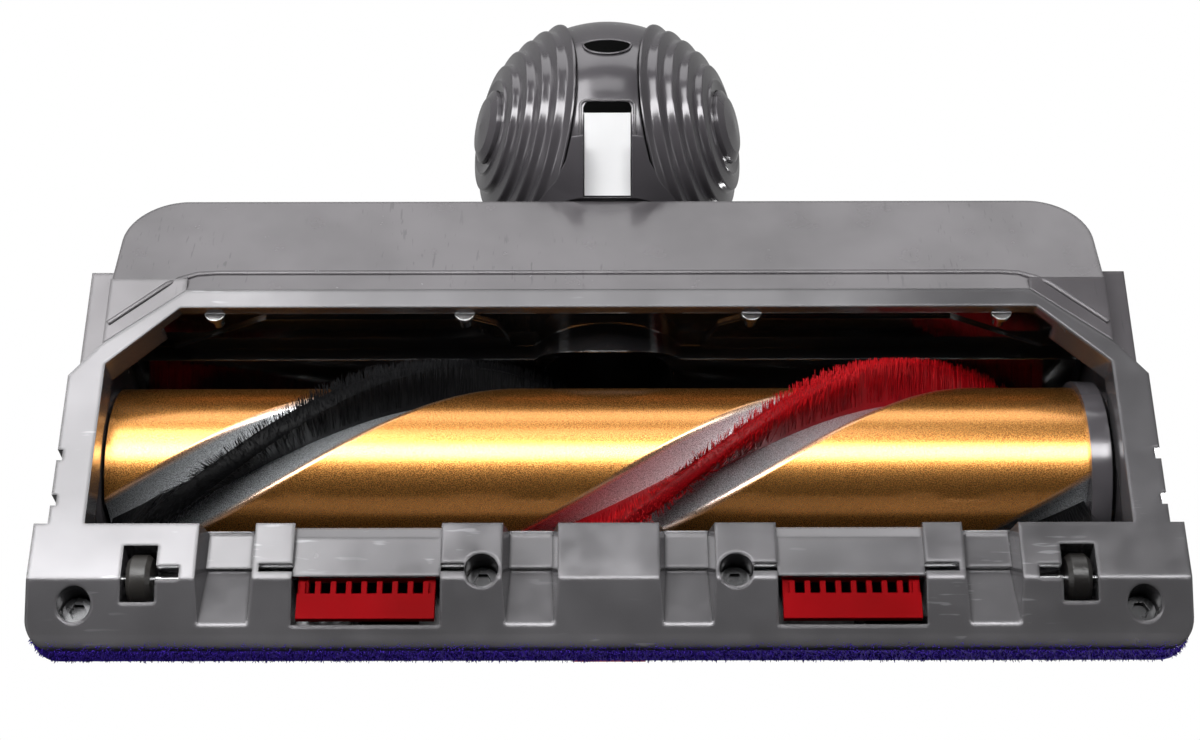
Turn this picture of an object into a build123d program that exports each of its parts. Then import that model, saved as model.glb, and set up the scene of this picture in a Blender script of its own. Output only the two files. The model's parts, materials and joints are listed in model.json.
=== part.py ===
from build123d import *
import os
from math import acos, cos, radians, sin, sqrt

# A powered vacuum floor head, standing on its sole as it does in use: front towards -Y,
# wand socket towards +Y, floor at z = 0. All sizes are in millimetres.

# Driving dimensions
WIDTH = 249.0               # across the sole
SOLE_Z = 1.0                # sole plane, lifted off the floor by the small front rollers
FRONT_REACH = 52.0          # from the brush axis forwards to the face of the felt strip
ROLL_Z = 29.5               # height of the brush axis
TUBE_OUT = 20.9             # brush tube, outside
TUBE_IN = 15.6
VALLEY_OUT, VALLEY_R = 45.0, 28.0   # each valley is cut by a circle this far out, this large
TUBE_ENDS = (-108.0, 113.0)
TIP_R = 28.0                # bristle tips
ROW_PITCH = 212.0           # one full turn of a bristle row
ROW_START = 38.2            # the nylon row's angle at the drive end
LINER_R = 29.4              # inside of the chamber liner
BALL_Y = 95.3               # from the brush axis back to the centre of the ball
BALL_R = 34.5
CAMBER = 20.0               # the two ball wheels lean, closest together at the floor
RIM_H = 18.7                # from the ball's centre out to each wheel's rim plane
SOCKET_ANGLE = 50.0         # the wand socket's recline at rest, above the horizontal
SOCKET_END = 96.0           # from the ball's centre to the socket's mouth
SOCKET_OUT = 20.5
SOCKET_R = 17.5             # bore that takes the wand
SOCKET_DEPTH = 35.0
HALF = WIDTH / 2

# The origin is midway between the felt strip's face and the socket's rearmost edge
REAR_REACH = BALL_Y + SOCKET_END * cos(radians(SOCKET_ANGLE)) + SOCKET_OUT * sin(radians(SOCKET_ANGLE))
ROLL_Y = (FRONT_REACH - REAR_REACH) / 2
RIM_R = sqrt(BALL_R ** 2 - RIM_H ** 2)
BALL_Z = RIM_H * sin(radians(CAMBER)) + RIM_R * cos(radians(CAMBER))
BALL = Vector(0, ROLL_Y + BALL_Y, BALL_Z)

# Front bar: y from the brush axis, x either side of the middle
BAR_REAR = -24.6
BAR_TOP = 13.0
CHANNELS = ((10.9, 22.9), (76.3, 88.6))
BAY = (36.1, 67.8)
HINGE_Y, HINGE_Z = -35.0, 5.2
PIN_R = 1.1
LINK_POST = 54.5            # the gate link's two posts
ROLLER_X, ROLLER_Y, ROLLER_R = 100.7, -36.0, 5.4
SCREWS = ((27.3, -35.5), (114.2, -42.5))
TRAVEL = 12.0               # gate slider
CHEEK_X = (115.3, 121.5)
RAIL_TOP = 9.0

GREY = (0.36, 0.36, 0.38)
DARK = (0.12, 0.12, 0.13)
RED = (0.72, 0.03, 0.05)
STEEL = (0.72, 0.73, 0.75)
GOLD = (0.78, 0.5, 0.2)
PURPLE = (0.16, 0.1, 0.45)
WHITE = (0.9, 0.9, 0.9)


def at_roll(points):
    """Section points given from the brush axis, moved to the part's own y."""
    return [(y + ROLL_Y, z) for y, z in points]


def brick(x_span, y_span, z_span, mode=Mode.ADD):
    """A box between limits, y from the brush axis, in the part being built."""
    middle = [sum(span) / 2 for span in (x_span, y_span, z_span)]
    with Locations((middle[0], middle[1] + ROLL_Y, middle[2])):
        Box(x_span[1] - x_span[0], y_span[1] - y_span[0], z_span[1] - z_span[0], mode=mode)


def rod(radius, start, direction, length, mode=Mode.ADD):
    """A cylinder from a point along a direction, in the part being built."""
    with Locations(Plane(origin=start, z_dir=direction).location):
        Cylinder(radius, length, align=(Align.CENTER, Align.CENTER, Align.MIN), mode=mode)


def on_axis(x):
    """A point on the brush axis."""
    return Vector(x, ROLL_Y, ROLL_Z)


def save(part, name, tint):
    """Labels a finished piece and writes it."""
    part.label = name
    part.color = Color(*tint)
    export_step(part, f"parts/{name}.step")


def save_pair(part, name, tint):
    """Writes a piece and its mirror image on the other side of the head."""
    save(part.mirror(Plane.YZ), name + "_right", tint)
    save(part, name + "_left", tint)


os.makedirs("parts", exist_ok=True)

# Outward directions of the two wheels' axes
WHEEL_DIRS = [Vector(side * cos(radians(CAMBER)), 0, -sin(radians(CAMBER))) for side in (1, -1)]


def wheel_room(inset, pitch=0.0, radius=35.3):
    """The space of the two wheels, grown by inset past their rim planes, turned about X."""
    along = WHEEL_DIRS[0].rotate(Axis.X, pitch)
    across = Vector(sin(radians(CAMBER)), 0, cos(radians(CAMBER))).rotate(Axis.X, pitch)
    start = RIM_H - inset
    rim, middle = (acos(start / radius), acos(start / radius) / 2)
    corners = [BALL + along * start, BALL + along * start + across * (radius * sin(rim))]
    crown = [BALL + along * (radius * cos(a)) + across * (radius * sin(a)) for a in (middle, 0)]
    edges = [Edge.make_line(*corners), Edge.make_three_point_arc(corners[1], *crown),
             Edge.make_line(crown[1], corners[0])]
    room = revolve(Face(Wire(edges)), axis=Axis(BALL, along), mode=Mode.PRIVATE)
    return [room, room.mirror(Plane.YZ)]


# Upper housing: one moulded hood over the brush, with a sloping rear skirt and neck socket
SPIGOT_R = 20.0
SPIGOT_FIT = 0.06
BOSS_R = 24.5
BOSS_SPAN = (51.3, 66.0)
REAR_HALF = 115.0
REAR_CORNER = 14.0


def hood_outline(inset):
    """The hood's closed section, brought in evenly by inset."""
    i = inset
    with BuildSketch(Plane.YZ) as section:
        with BuildLine():
            front = Polyline(*at_roll([(-48.2 + i, 13.2), (-48.2 + i, 20.5), (-45.5 + i, 27 - 0.3 * i), (-35 + 0.8 * i, 50 - 0.5 * i)]))
            top = ThreePointArc(front @ 1, at_roll([(-10, 62.8 - i)])[0], at_roll([(12, 63.5 - i)])[0])
            back = Line(top @ 1, at_roll([(46, 61 - i)])[0])
            bend = ThreePointArc(back @ 1, at_roll([(59 - 0.7 * i, 57.5 - 0.7 * i)])[0], at_roll([(66 - i, 48)])[0])
            Polyline(bend @ 1, *at_roll([(66 - i, 12.5 + 0.75 * i), (34.5 + i, 2.0 + 1.4 * i), (34.5 + i, 9.3)]),
                     *at_roll([(-24.3, 9.3), (-24.3, 13.2)]), front @ 0)
        make_face()
    return section.sketch


with BuildSketch(Plane.XY) as hood_plan:
    with Locations((0, ROLL_Y + (66 - 51) / 2)):
        Rectangle(2 * REAR_HALF, 66 + 51)
    rear = hood_plan.vertices().filter_by(lambda v: v.Y > ROLL_Y + 60)
    fillet(rear, radius=REAR_CORNER)

with BuildSketch(Plane.XY) as inner_plan:
    with Locations((0, ROLL_Y + (63.6 - 50) / 2)):
        Rectangle(2 * (REAR_HALF - 2.4), 63.6 + 50)
    inner_rear = inner_plan.vertices().filter_by(lambda v: v.Y > ROLL_Y + 60)
    fillet(inner_rear, radius=REAR_CORNER - 2.4)
CAVITY = extrude(hood_outline(2.4), amount=REAR_HALF - 2.4, both=True) & extrude(inner_plan.sketch, amount=80)

with BuildPart() as upper_housing:
    add(extrude(hood_outline(0), amount=REAR_HALF, both=True, mode=Mode.PRIVATE))
    add(extrude(hood_plan.sketch, amount=80, mode=Mode.PRIVATE), mode=Mode.INTERSECT)
    rod(BOSS_R, (0, ROLL_Y + BOSS_SPAN[0], BALL_Z), (0, 1, 0), BOSS_SPAN[1] - BOSS_SPAN[0])
    add(CAVITY, mode=Mode.SUBTRACT)
    brick((-116, 116), (-45.8, 34.4), (-1, 13.3), Mode.SUBTRACT)
    brick((-116, 116), (-45.8, 33.0), (13.2, 24), Mode.SUBTRACT)
    rod(32.0, (-116, ROLL_Y, ROLL_Z), (1, 0, 0), 232, Mode.SUBTRACT)
    for side in (1, -1):
        with BuildSketch(Plane.XY.offset(2.0)):
            with BuildLine():
                Polyline(*[(side * x, y + ROLL_Y) for x, y in ((97.2, 34.5), (115, 20.6), (115, 38), (97.2, 38))],
                         close=True)
            make_face()
        extrude(amount=7.05)
    rod(BOSS_R, (0, ROLL_Y + BOSS_SPAN[0], BALL_Z), (0, 1, 0), 12.5)
    rod(SPIGOT_R + SPIGOT_FIT, (0, ROLL_Y + 40, BALL_Z), (0, 1, 0), 30, Mode.SUBTRACT)
    brick((-TRAVEL - 4.2, 4.2), (-49, -45), (15.2, 20.2), Mode.SUBTRACT)
    with BuildSketch(Plane.YZ):
        with BuildLine():
            Polyline(*at_roll([(34.5, 2.0), (67, 12.833), (67, 0), (34.5, 0)]), close=True)
        make_face()
    extrude(amount=40, both=True, mode=Mode.SUBTRACT)

save(upper_housing.part, "upper_housing", GREY)

# Soleplate: front bar, two side rails and the bezel behind the brush opening
with BuildSketch(Plane.XY) as bar_plan:
    with Locations((0, ROLL_Y + (BAR_REAR - FRONT_REACH) / 2)):
        Rectangle(WIDTH, BAR_REAR + FRONT_REACH)
    corners = bar_plan.vertices().filter_by(lambda v: v.Y < ROLL_Y - 50)
    fillet(corners, radius=6.5)

with BuildSketch(Plane.XY) as rail_plan:
    with BuildLine():
        outer = [(121.5, -25), (121.5, 12), (115, 20), (97, 34.2)]
        Polyline(*[(x, y + ROLL_Y) for x, y in outer], *[(-x, y + ROLL_Y) for x, y in reversed(outer)],
                 close=True)
    make_face()
    with BuildLine():
        inner = [(113.5, -26), (113.5, 15), (98, 29.6)]
        Polyline(*[(x, y + ROLL_Y) for x, y in inner], *[(-x, y + ROLL_Y) for x, y in reversed(inner)],
                 close=True)
    make_face(mode=Mode.SUBTRACT)

# Open dirt channels: sides that draw in, a rear facet, a step and a front ramp
CHANNEL_CUTS = []
for near, far in CHANNELS:
    with BuildPart() as channel:
        with BuildSketch(Plane.XY.offset(0.9)):
            with Locations(((near + far) / 2, ROLL_Y - 36.5)):
                Rectangle(far - near, 26)
        extrude(amount=9, taper=14)
        with BuildSketch(Plane.YZ):
            with BuildLine():
                Polyline(*at_roll([(-23.0, 0), (-23.0, 6.6), (-33, 6.2), (-33, 7.4), (-47, 4.4), (-49.4, 0)]),
                         close=True)
            make_face()
        extrude(amount=far + 1, mode=Mode.INTERSECT)
    CHANNEL_CUTS.append(channel.part)

with BuildSketch(Plane.XY) as felt_plan:
    add(bar_plan.sketch)
    offset(bar_plan.sketch, amount=-3.4, mode=Mode.SUBTRACT)
    with Locations((0, ROLL_Y - 25)):
        Rectangle(300, 34, mode=Mode.SUBTRACT)

with BuildPart() as soleplate:
    with BuildSketch(Plane.YZ):
        with BuildLine():
            Polyline(*at_roll([(BAR_REAR, 1), (-37.4, 1), (-48.7, 5.2), (-52, 6.2), (-52, BAR_TOP),
                               (BAR_REAR, BAR_TOP)]), close=True)
        make_face()
    extrude(amount=HALF, both=True)
    add(extrude(bar_plan.sketch, amount=20, mode=Mode.PRIVATE), mode=Mode.INTERSECT)
    with BuildSketch(Plane.XY.offset(SOLE_Z)):
        add(rail_plan.sketch)
    extrude(amount=RAIL_TOP - SOLE_Z)
    with BuildSketch(Plane.XY.offset(6.2)):
        add(felt_plan.sketch)
    extrude(amount=10, mode=Mode.SUBTRACT)
    for side in (1, -1):
        for channel in CHANNEL_CUTS:
            add(channel if side > 0 else channel.mirror(Plane.YZ), mode=Mode.SUBTRACT)
        low, high = sorted((side * BAY[0], side * BAY[1]))
        brick((low, high), (-46.8, -36.6), (0, 11.6), Mode.SUBTRACT)
        brick((low, high), (-36.7, -33.0), (3.2, 11.6), Mode.SUBTRACT)
        recess = [(BAR_REAR + 0.1, 0), (BAR_REAR + 0.1, 3.6), (-27.4, 2.6), (-36.8, 2.2), (-36.8, 0)]
        with BuildSketch(Plane.YZ.offset(low)):
            with BuildLine():
                Polyline(*at_roll(recess), close=True)
            make_face()
        extrude(amount=high - low, mode=Mode.SUBTRACT)
        for near, far in ((31.0, BAY[0]), (BAY[1], 75.0)):
            low, high = sorted((side * near, side * far))
            brick((low, high), (HINGE_Y - 0.95, HINGE_Y + 0.95), (0, HINGE_Z), Mode.SUBTRACT)
            rod(PIN_R + 0.05, (low, ROLL_Y + HINGE_Y, HINGE_Z), (1, 0, 0), high - low, Mode.SUBTRACT)
        x = side * ROLLER_X
        brick((x - 3.7, x + 3.7), (ROLLER_Y - 6.2, ROLLER_Y + 6.2), (0, 11.6), Mode.SUBTRACT)
        low, high = sorted((side * 92.0, side * 107.5))
        rod(1.55, (low, ROLL_Y + ROLLER_Y, ROLLER_R), (1, 0, 0), high - low, Mode.SUBTRACT)
        low, high = sorted((side * 92.0, side * 98.0))
        brick((low, high), (ROLLER_Y - 1.5, ROLLER_Y + 1.5), (0, ROLLER_R), Mode.SUBTRACT)
        for sx, sy in SCREWS:
            rod(3.65, (side * sx, ROLL_Y + sy, 0), (0, 0, 1), 9.6, Mode.SUBTRACT)
            rod(1.65, (side * sx, ROLL_Y + sy, 9), (0, 0, 1), 8.0, Mode.SUBTRACT)
        post = side * LINK_POST
        brick((post - TRAVEL - 1.3, post + 1.3), (-44.6, -42.2), (11, 14), Mode.SUBTRACT)
        with Locations((side * 121.5, ROLL_Y - 19, 5), (side * 121.5, ROLL_Y - 8, 5)):
            Box(2.4, 2.6, 9, mode=Mode.SUBTRACT)
    brick((-105, 105), (26, 34.3), (4.0, 10), Mode.SUBTRACT)

save(soleplate.part, "soleplate", GREY)

for index, (sx, sy) in enumerate(SCREWS):
    with BuildPart() as screw:
        rod(3.3, (sx, ROLL_Y + sy, 7.4), (0, 0, 1), 2.2)
        rod(1.6, (sx, ROLL_Y + sy, 9), (0, 0, 1), 4.0)
        with BuildSketch(Plane(origin=(sx, ROLL_Y + sy, 7.4))):
            RegularPolygon(1.9, 6)
        extrude(amount=1.2, mode=Mode.SUBTRACT)
    save_pair(screw.part, ("screw_inner", "screw_outer")[index], STEEL)

for index, clip_x in enumerate((33, 90.5)):
    with BuildPart() as clip:
        rod(2.4, (clip_x, ROLL_Y + 30.2, 4.0), (0, 0, 1), 1.3)
        rod(1.4, (clip_x, ROLL_Y + 30.2, 4.8), (0, 0, 1), 4.3)
    save_pair(clip.part, ("bezel_clip_inner", "bezel_clip_outer")[index], STEEL)

# Felt strip along the front and round both corners
with BuildPart() as felt_strip:
    with BuildSketch(Plane.XY.offset(6.2)):
        add(felt_plan.sketch)
    extrude(amount=6.0)
save(felt_strip.part, "felt_strip", PURPLE)

# Chamber liner: smoked shell round the brush, open below and towards the front bar
REAR_WALL_Y = (33.0, 34.2)
ROOF_Z = 25.0
RING_R = 19.5
PANEL = [(22, 24.8), (26, 14), (32, 11), (80, 11), (104, 24.8)]
with BuildPart() as chamber_liner:
    rod(LINER_R + 1.6, (-112.4, ROLL_Y, ROLL_Z), (1, 0, 0), 224.8)
    brick((-112.4, 112.4), (18, REAR_WALL_Y[1]), (9.1, ROOF_Z + 1.2))
    brick((-97.3, 97.3), (18, REAR_WALL_Y[1]), (4.1, 9.2))
    rod(LINER_R, (-113, ROLL_Y, ROLL_Z), (1, 0, 0), 226, Mode.SUBTRACT)
    brick((-113, 113), (-32, 0), (-4, BAR_TOP), Mode.SUBTRACT)
    brick((-113, 113), (0, REAR_WALL_Y[0]), (-4, ROOF_Z), Mode.SUBTRACT)
    with BuildSketch(Plane.XZ.offset(-(ROLL_Y + 24))):
        with Locations((0, BALL_Z)):
            Circle(RING_R)
        with Locations((0, ROOF_Z + 0.6)):
            Rectangle(60, 40, align=(Align.CENTER, Align.MIN), mode=Mode.SUBTRACT)
    extrude(amount=-(REAR_WALL_Y[0] - 23.8))
    with BuildSketch(Plane.XZ.offset(-(ROLL_Y + REAR_WALL_Y[0] - 0.8))):
        for side in (1, -1):
            with BuildLine():
                Polyline(*[(side * x, z) for x, z in PANEL], close=True)
            make_face()
    extrude(amount=-1.0)
    rod(LINER_R, (-113, ROLL_Y, ROLL_Z), (1, 0, 0), 226, Mode.SUBTRACT)
    rod(15.5, (0, ROLL_Y + 10, BALL_Z), (0, 1, 0), 30, Mode.SUBTRACT)
save(chamber_liner.part, "chamber_liner", DARK)

# Throat duct from the chamber to the turning neck
with BuildPart() as throat_duct:
    rod(17.5, (0, ROLL_Y + 24, BALL_Z), (0, 1, 0), 24.6)
    rod(15.5, (0, ROLL_Y + 20, BALL_Z), (0, 1, 0), 32, Mode.SUBTRACT)
    rod(LINER_R + 1.65, (-30, ROLL_Y, ROLL_Z), (1, 0, 0), 60, Mode.SUBTRACT)
    brick((-30, 30), (18, REAR_WALL_Y[1] + 0.05), (9, ROOF_Z + 1.25), Mode.SUBTRACT)
save(throat_duct.part, "throat_duct", DARK)

# End cheeks close the hood at both sides and carry the brush
CAP_BUTTON = (-6.0, 17.0)


def cheek(x_start):
    """The hood's own section cut short behind the brush, in the part being built."""
    add(Pos(x_start, 0, 0) * extrude(hood_outline(0), amount=CHEEK_X[1] - CHEEK_X[0], mode=Mode.PRIVATE))
    brick((-130, 130), (-60, 44), (9.3, 80), Mode.INTERSECT)
    brick((-130, 130), (-60, BAR_REAR + 0.3), (9, BAR_TOP + 0.2), Mode.SUBTRACT)


with BuildPart() as end_cap:
    cheek(CHEEK_X[0])
    rod(20.2, on_axis(114), (1, 0, 0), 4)
    rod(4.0, on_axis(112), (1, 0, 0), 7.1, Mode.SUBTRACT)
    brick((116, 122), (CAP_BUTTON[0] - 0.4, CAP_BUTTON[1] + 0.4), (9.2, 15), Mode.SUBTRACT)
save(end_cap.part, "end_cap", GREY)

with BuildPart() as end_cheek:
    cheek(-CHEEK_X[1])
    rod(20.2, on_axis(-114), (-1, 0, 0), 4)
    rod(8.0, on_axis(-118), (1, 0, 0), 6, Mode.SUBTRACT)
save(end_cheek.part, "end_cheek_drive", GREY)

with BuildPart() as cap_button:
    brick((117.5, 122.0), CAP_BUTTON, (9.5, 14.7))
save(cap_button.part, "cap_button", GREY)

# Brush tube: two helical valleys, half a turn apart
TURN = -360.0 * (TUBE_ENDS[1] - TUBE_ENDS[0]) / ROW_PITCH
END_PLANE = Plane.YZ.offset(TUBE_ENDS[0])


def twisted(sketch):
    """A section at the drive end swept along the brush with the rows' twist."""
    return Part() + [
        Solid.extrude_linear_with_rotation(
            face, on_axis(TUBE_ENDS[0]), Vector(TUBE_ENDS[1] - TUBE_ENDS[0], 0, 0), TURN)
        for face in sketch.faces()]


with BuildSketch(END_PLANE) as tube_section:
    with Locations((ROLL_Y, ROLL_Z)):
        Circle(TUBE_OUT)
        with PolarLocations(VALLEY_OUT, 2, start_angle=ROW_START):
            Circle(VALLEY_R, mode=Mode.SUBTRACT)
        Circle(TUBE_IN, mode=Mode.SUBTRACT)

with BuildPart() as brush_tube:
    add(twisted(tube_section.sketch))
save(brush_tube.part, "brush_tube", GOLD)

for name, start, thickness, tint in (("nylon_row", ROW_START, 4.6, RED), ("carbon_row", ROW_START + 180, 6.4, DARK)):
    with BuildSketch(END_PLANE) as row_section:
        with Locations((ROLL_Y, ROLL_Z)):
            with PolarLocations(22.4, 1, start_angle=start):
                Rectangle(11.2, thickness)
            with PolarLocations(VALLEY_OUT, 1, start_angle=start):
                Circle(VALLEY_R, mode=Mode.INTERSECT)
    with BuildPart() as row:
        add(twisted(row_section.sketch))
    save(row.part, name, tint)

with BuildPart() as end_plug:
    rod(TUBE_IN, on_axis(105), (1, 0, 0), 8)
    rod(9.0, on_axis(104), (1, 0, 0), 10, Mode.SUBTRACT)
save(end_plug.part, "tube_end_plug", DARK)

with BuildPart() as drive_web:
    rod(TUBE_IN, on_axis(12), (1, 0, 0), 6)
    with BuildSketch(Plane.YZ.offset(11)):
        with Locations((ROLL_Y, ROLL_Z)):
            RegularPolygon(6.0, 6)
    extrude(amount=8, mode=Mode.SUBTRACT)
save(drive_web.part, "drive_web", DARK)

with BuildPart() as tube_collar:
    rod(22.4, on_axis(-112.6), (1, 0, 0), 4.6)
    rod(14.0, on_axis(-113), (1, 0, 0), 6, Mode.SUBTRACT)
save(tube_collar.part, "tube_collar", GREY)

with BuildPart() as idle_bearing:
    rod(9.0, on_axis(106), (1, 0, 0), 6)
    rod(4.05, on_axis(105), (1, 0, 0), 8, Mode.SUBTRACT)
save(idle_bearing.part, "idle_bearing", STEEL)

with BuildPart() as idle_spindle:
    rod(4.0, on_axis(105), (1, 0, 0), 14)
save(idle_spindle.part, "idle_spindle", STEEL)

# Motor and gearbox sit still inside the tube, held from the drive end
with BuildPart() as motor_flange:
    rod(8.0, on_axis(-118), (1, 0, 0), 14)
    rod(13.5, on_axis(-106), (1, 0, 0), 4)
save(motor_flange.part, "motor_flange", DARK)

with BuildPart() as motor_can:
    rod(14.6, on_axis(-102), (1, 0, 0), 72)
save(motor_can.part, "motor_can", STEEL)

with BuildPart() as gearbox:
    rod(14.2, on_axis(-30), (1, 0, 0), 30)
    rod(3.06, on_axis(-20), (1, 0, 0), 21, Mode.SUBTRACT)
save(gearbox.part, "gearbox", DARK)

with BuildPart() as drive_dog:
    rod(3.0, on_axis(-19.5), (1, 0, 0), 32)
    with BuildSketch(Plane.YZ.offset(12.2)):
        with Locations((ROLL_Y, ROLL_Z)):
            RegularPolygon(6.0, 6)
    extrude(amount=5)
save(drive_dog.part, "drive_dog", STEEL)

# Red suction gates hinge in the front bar and are moved together by the slider on the front
with BuildPart() as gate:
    rod(1.75, (37.2, ROLL_Y + HINGE_Y, HINGE_Z), (1, 0, 0), 29.5)
    brick((37.2, 66.7), (-46.0, -40.2), (3.0, 4.6))
    for x in (37.2, 64.4):
        brick((x, x + 2.3), (-40.4, -35.6), (4.0, 5.8))
    for step in range(9):
        rib = 38.6 + step * 3.3
        brick((rib, rib + 1.2), (-40.4, -37.4), (3.0, 4.6))
    rod(PIN_R, (37, ROLL_Y + HINGE_Y, HINGE_Z), (1, 0, 0), 30, Mode.SUBTRACT)
save_pair(gate.part, "gate", RED)

with BuildPart() as gate_pin:
    rod(PIN_R, (31.3, ROLL_Y + HINGE_Y, HINGE_Z), (1, 0, 0), 43.4)
save_pair(gate_pin.part, "gate_pin", STEEL)

with BuildPart() as gate_slider:
    brick((-8, 8), (-49.2, -48.3), (14.4, 20.2))
    brick((-3.8, 3.8), (-48.4, -45.4), (15.6, 19.8))
    with Locations(*[(x, ROLL_Y - 49.2, 17.3) for x in (-4, 0, 4)]):
        Box(1.2, 0.8, 4.6, mode=Mode.SUBTRACT)
save(gate_slider.part, "gate_slider", RED)

with BuildPart() as gate_link:
    brick((-58, 58), (-45.4, -43.8), (14.0, 19.8))
    for x in (-LINK_POST, LINK_POST):
        brick((x - 0.8, x + 0.8), (-44.2, -42.6), (8.6, 15))
save(gate_link.part, "gate_link", DARK)

# Small front rollers on their axles
with BuildPart() as floor_roller:
    with BuildSketch(Plane.XZ.offset(-(ROLL_Y + ROLLER_Y))):
        with BuildLine():
            Polyline((ROLLER_X - 2.6, ROLLER_R + 1.05), (ROLLER_X - 2.6, 2 * ROLLER_R - 0.9),
                     (ROLLER_X - 1.6, 2 * ROLLER_R), (ROLLER_X + 1.6, 2 * ROLLER_R),
                     (ROLLER_X + 2.6, 2 * ROLLER_R - 0.9), (ROLLER_X + 2.6, ROLLER_R + 1.05), close=True)
        make_face()
    revolve(axis=Axis((0, ROLL_Y + ROLLER_Y, ROLLER_R), (1, 0, 0)))
save_pair(floor_roller.part, "floor_roller", DARK)

with BuildPart() as roller_axle:
    rod(1.0, (92.3, ROLL_Y + ROLLER_Y, ROLLER_R), (1, 0, 0), 15)
save_pair(roller_axle.part, "roller_axle", STEEL)

# Neck elbow: turns in the hood's socket and carries the two ball wheels
LABEL_TILT = 36.0           # from straight down towards the front
LABEL_OUT = Vector(0, -sin(radians(LABEL_TILT)), -cos(radians(LABEL_TILT)))
LABEL_PLACE = Plane(origin=BALL + LABEL_OUT * 31.0, x_dir=(1, 0, 0), z_dir=LABEL_OUT).location
WHEEL_ROOMS = wheel_room(0.8)
HOLLOW = Pos(BALL) * Sphere(30.0)
for room in wheel_room(3.2, radius=40.0):
    HOLLOW -= room

FLARE_SIDE = [(22.5, 66.5), (16.8, 68.0), (12.6, 70.2), (10.0, 73.4), (8.6, 78.0)]
with BuildSketch(Plane.XY) as flare_plan:
    with BuildLine():
        Polyline(*[(x, ROLL_Y + y) for x, y in FLARE_SIDE],
                 *[(-x, ROLL_Y + y) for x, y in reversed(FLARE_SIDE)], close=True)
    make_face()
FLARE = Pos(0, 0, 1.2) * extrude(flare_plan.sketch, amount=24) & (Pos(BALL) * Sphere(36.8))

with BuildPart() as neck_elbow:
    with Locations(BALL):
        Sphere(33.0)
    with BuildSketch(Plane.XZ.offset(-(ROLL_Y + 66.6))):
        with Locations((0, BALL_Z)):
            Circle(22.5)
    with BuildSketch(Plane.XZ.offset(-(ROLL_Y + 84.0))):
        with Locations((0, BALL_Z)):
            Circle(15.0)
    loft()
    add(FLARE)
    add(HOLLOW, mode=Mode.SUBTRACT)
    with BuildSketch(Plane.YZ) as sweep_zone:
        with BuildLine():
            far = 60.0
            centre = (BALL.Y, BALL.Z)
            rays = [(BALL.Y + far * cos(radians(a)), BALL.Z + far * sin(radians(a))) for a in (-33, 0, 50, 90, 131)]
            Polyline(centre, *rays, close=True)
        make_face()
        with Locations(centre):
            Circle(9.0, mode=Mode.SUBTRACT)
    extrude(amount=40, both=True, mode=Mode.SUBTRACT)
    rod(SPIGOT_R, (0, ROLL_Y + 51, BALL_Z), (0, 1, 0), 18)
    for room in WHEEL_ROOMS:
        add(room, mode=Mode.SUBTRACT)
    rod(15.5, (0, ROLL_Y + 50, BALL_Z), (0, 1, 0), 30, Mode.SUBTRACT)
    for side in (1, -1):
        rod(7.0, BALL + Vector(side * 11.2, 0, 0), (side, 0, 0), 4.8)
        rod(4.05, BALL + Vector(side * 11.0, 0, 0), (side, 0, 0), 3.4, Mode.SUBTRACT)
        out = WHEEL_DIRS[0 if side > 0 else 1]
        rod(3.0, BALL + out * 15.6, out, 6, Mode.SUBTRACT)
    with Locations(LABEL_PLACE):
        Box(11.8, 20.6, 8, align=(Align.CENTER, Align.CENTER, Align.MIN), mode=Mode.SUBTRACT)
save(neck_elbow.part, "neck_elbow", GREY)

with BuildPart() as rating_label:
    with Locations(LABEL_PLACE):
        Box(11.2, 20.0, 0.4, align=(Align.CENTER, Align.CENTER, Align.MIN))
save(rating_label.part, "rating_label", WHITE)

with BuildPart() as neck_retainer:
    rod(23.0, (0, ROLL_Y + 49.0, BALL_Z), (0, 1, 0), 2.0)
    rod(15.5, (0, ROLL_Y + 48, BALL_Z), (0, 1, 0), 4, Mode.SUBTRACT)
save(neck_retainer.part, "neck_retainer", DARK)

# Ball wheels: domed discs with five stepped rings and a hub cap
STEPS = [(RIM_R, RIM_H), (26.6, 22.0), (23.6, 25.0), (20.2, 27.8), (16.2, 30.2), (12.0, 31.6)]
SPIN = Plane(origin=BALL, x_dir=(sin(radians(CAMBER)), 0, cos(radians(CAMBER))), z_dir=WHEEL_DIRS[0])


def about_spin(points):
    """Section of a wheel: radius and distance along its own axis."""
    across, along = SPIN.x_dir, SPIN.z_dir
    return [BALL + across * r + along * t for r, t in points]


def ring_solid(points):
    """A solid of revolution about the left wheel's axis."""
    face = Face(Wire.make_polygon(about_spin(points), close=True))
    return revolve(face, axis=Axis(BALL, WHEEL_DIRS[0]), mode=Mode.PRIVATE)


stepped = []
for (r0, t0), (r1, t1) in zip(STEPS, STEPS[1:]):
    stepped += [(r0, t0), (r0 - 0.3 * (r0 - r1), t0 + 0.55 * (t1 - t0)), (r1 + 0.5, t1 - 0.1), (r1 - 0.5, t1 - 0.3)]

with BuildPart() as ball_wheel:
    add(ring_solid([(3.06, 18.9), (3.06, 29.0), (9.4, 29.0), (9.4, 31.6)] + stepped[::-1]
                   + [(RIM_R - 2.4, RIM_H), (23.5, 22.5), (17, 26.0), (9, 27.0), (6.5, 25.5), (6.5, 18.9)]))
save_pair(ball_wheel.part, "ball_wheel", GREY)

with BuildPart() as hub_cap:
    add(ring_solid([(0, 29.6), (9.2, 29.6), (9.2, 32.4), (7.0, 33.6), (0, 34.3)]))
save_pair(hub_cap.part, "hub_cap", GREY)

with BuildPart() as wheel_pin:
    rod(3.0, BALL + WHEEL_DIRS[0] * 15.6, WHEEL_DIRS[0], 13.4)
save_pair(wheel_pin.part, "wheel_pin", STEEL)

# Wand socket: pitches in the elbow's two bearings
SOCKET_DIR = Vector(0, cos(radians(SOCKET_ANGLE)), sin(radians(SOCKET_ANGLE)))
SWEPT_ROOMS = [(pitch, wheel_room(1.2, pitch)) for pitch in (-40, -20, 0, 20, 40)]

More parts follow.
